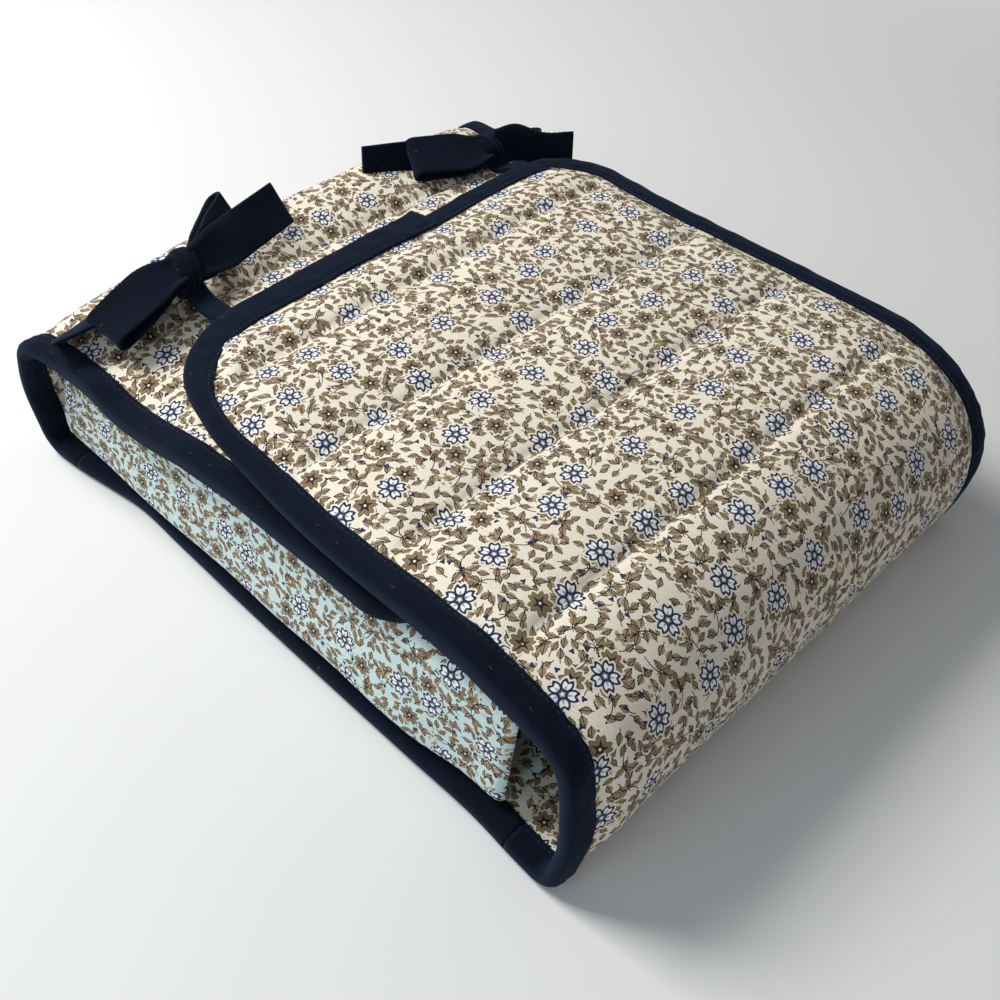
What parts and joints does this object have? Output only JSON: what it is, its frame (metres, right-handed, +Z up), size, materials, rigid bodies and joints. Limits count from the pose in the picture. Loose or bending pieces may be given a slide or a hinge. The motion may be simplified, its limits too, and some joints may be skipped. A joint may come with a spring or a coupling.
{
  "type": "casserole carrier",
  "caption": "Quilted fabric casserole carrier: a padded wrap with bound edges folds round a dish over a padded cross panel and closes with bow ties.",
  "frame": {"origin": "centre of the base's flat underside", "axes": "+X across the wrap between its open sides, +Y from the front wall to the back wall, +Z up"},
  "size_m": [0.3252, 0.3631, 0.1187],
  "materials": {
    "printed_cotton": "matte small floral print on cream cotton",
    "pale_printed_cotton": "matte small floral print on pale cotton",
    "batting": "soft white fibre filling",
    "navy_cotton": "matte dark navy cotton tape"
  },
  "bodies": {
    "base": {"base_cover": "printed_cotton", "base_batting": "batting", "base_lining": "printed_cotton", "base_binding_left": "navy_cotton", "base_binding_right": "navy_cotton", "front_wall_cover": "printed_cotton", "front_wall_batting": "batting", "front_wall_lining": "printed_cotton", "front_wall_binding_left": "navy_cotton", "front_wall_binding_right": "navy_cotton", "back_wall_cover": "printed_cotton", "back_wall_batting": "batting", "back_wall_lining": "printed_cotton", "back_wall_binding_left": "navy_cotton", "back_wall_binding_right": "navy_cotton", "inner_base_cover": "pale_printed_cotton", "inner_base_batting": "batting", "inner_base_lining": "printed_cotton"},
    "front_flap": {"front_flap_cover": "printed_cotton", "front_flap_batting": "batting", "front_flap_lining": "printed_cotton", "front_flap_binding": "navy_cotton", "left_bow_knot": "navy_cotton", "left_bow_front_tie": "navy_cotton", "right_bow_knot": "navy_cotton", "right_bow_front_tie": "navy_cotton"},
    "back_flap": {"back_flap_cover": "printed_cotton", "back_flap_batting": "batting", "back_flap_lining": "printed_cotton", "back_flap_binding": "navy_cotton", "left_bow_back_tie": "navy_cotton", "right_bow_back_tie": "navy_cotton"},
    "side_left": {"side_left_cover": "pale_printed_cotton", "side_left_batting": "batting", "side_left_lining": "printed_cotton"},
    "lip_left": {"lip_left_cover": "pale_printed_cotton", "lip_left_batting": "batting", "lip_left_lining": "printed_cotton"},
    "side_right": {"side_right_cover": "pale_printed_cotton", "side_right_batting": "batting", "side_right_lining": "printed_cotton"},
    "lip_right": {"lip_right_cover": "pale_printed_cotton", "lip_right_batting": "batting", "lip_right_lining": "printed_cotton"},
    "left_bow_loop_inner": {"left_bow_loop_inner": "navy_cotton"},
    "left_bow_tail_inner": {"left_bow_tail_inner": "navy_cotton"},
    "left_bow_loop_outer": {"left_bow_loop_outer": "navy_cotton"},
    "left_bow_tail_outer": {"left_bow_tail_outer": "navy_cotton"},
    "right_bow_loop_inner": {"right_bow_loop_inner": "navy_cotton"},
    "right_bow_tail_inner": {"right_bow_tail_inner": "navy_cotton"},
    "right_bow_loop_outer": {"right_bow_loop_outer": "navy_cotton"},
    "right_bow_tail_outer": {"right_bow_tail_outer": "navy_cotton"}
  },
  "joints": [
    {"name": "front_flap_lift", "type": "hinge", "parent": "base", "child": "front_flap", "pos_m": [0, -0.16476, 0.08446], "axis": [1, 0, 0], "range_deg": [0, 170]},
    {"name": "back_flap_lift", "type": "hinge", "parent": "base", "child": "back_flap", "pos_m": [0, 0.17764, 0.08174], "axis": [-1, 0, 0], "range_deg": [0, 45]},
    {"name": "side_left_fold", "type": "hinge", "parent": "base", "child": "side_left", "pos_m": [-0.14465, 0.009, 0.01135], "axis": [0, -1, 0], "range_deg": [0, 90]},
    {"name": "lip_left_fold", "type": "hinge", "parent": "side_left", "child": "lip_left", "pos_m": [-0.1392, 0.009, 0.0658], "axis": [0, 1, 0], "range_deg": [0, 90]},
    {"name": "side_right_fold", "type": "hinge", "parent": "base", "child": "side_right", "pos_m": [0.14465, 0.009, 0.01135], "axis": [0, 1, 0], "range_deg": [0, 90]},
    {"name": "lip_right_fold", "type": "hinge", "parent": "side_right", "child": "lip_right", "pos_m": [0.1392, 0.009, 0.0658], "axis": [0, -1, 0], "range_deg": [0, 90]},
    {"name": "left_bow_loop_inner_lift", "type": "hinge", "parent": "front_flap", "child": "left_bow_loop_inner", "pos_m": [-0.0817, 0.13498, 0.10277], "axis": [0, -0.5708, 0.8211], "range_deg": [0, 30]},
    {"name": "left_bow_tail_inner_lift", "type": "hinge", "parent": "front_flap", "child": "left_bow_tail_inner", "pos_m": [-0.0817, 0.12553, 0.10497], "axis": [0, -0.8211, -0.5708], "range_deg": [0, 35]},
    {"name": "left_bow_loop_outer_lift", "type": "hinge", "parent": "front_flap", "child": "left_bow_loop_outer", "pos_m": [-0.1023, 0.12525, 0.10538], "axis": [0, 0.8211, 0.5708], "range_deg": [0, 35]},
    {"name": "left_bow_tail_outer_lift", "type": "hinge", "parent": "front_flap", "child": "left_bow_tail_outer", "pos_m": [-0.1023, 0.13635, 0.1008], "axis": [0, 0.5708, -0.8211], "range_deg": [0, 30]},
    {"name": "right_bow_loop_inner_lift", "type": "hinge", "parent": "front_flap", "child": "right_bow_loop_inner", "pos_m": [0.1077, 0.12525, 0.10538], "axis": [0, 0.8211, 0.5708], "range_deg": [0, 35]},
    {"name": "right_bow_tail_inner_lift", "type": "hinge", "parent": "front_flap", "child": "right_bow_tail_inner", "pos_m": [0.1077, 0.13635, 0.1008], "axis": [0, 0.5708, -0.8211], "range_deg": [0, 30]},
    {"name": "right_bow_loop_outer_lift", "type": "hinge", "parent": "front_flap", "child": "right_bow_loop_outer", "pos_m": [0.1283, 0.13498, 0.10277], "axis": [0, -0.5708, 0.8211], "range_deg": [0, 30]},
    {"name": "right_bow_tail_outer_lift", "type": "hinge", "parent": "front_flap", "child": "right_bow_tail_outer", "pos_m": [0.1283, 0.12553, 0.10497], "axis": [0, -0.8211, -0.5708], "range_deg": [0, 35]}
  ],
  "couplings": [
    {"joint": "back_flap_lift", "follows": "front_flap_lift", "ratio": 0.25},
    {"joint": "lip_left_fold", "follows": "side_left_fold", "ratio": 1},
    {"joint": "lip_right_fold", "follows": "side_right_fold", "ratio": 1}
  ]
}
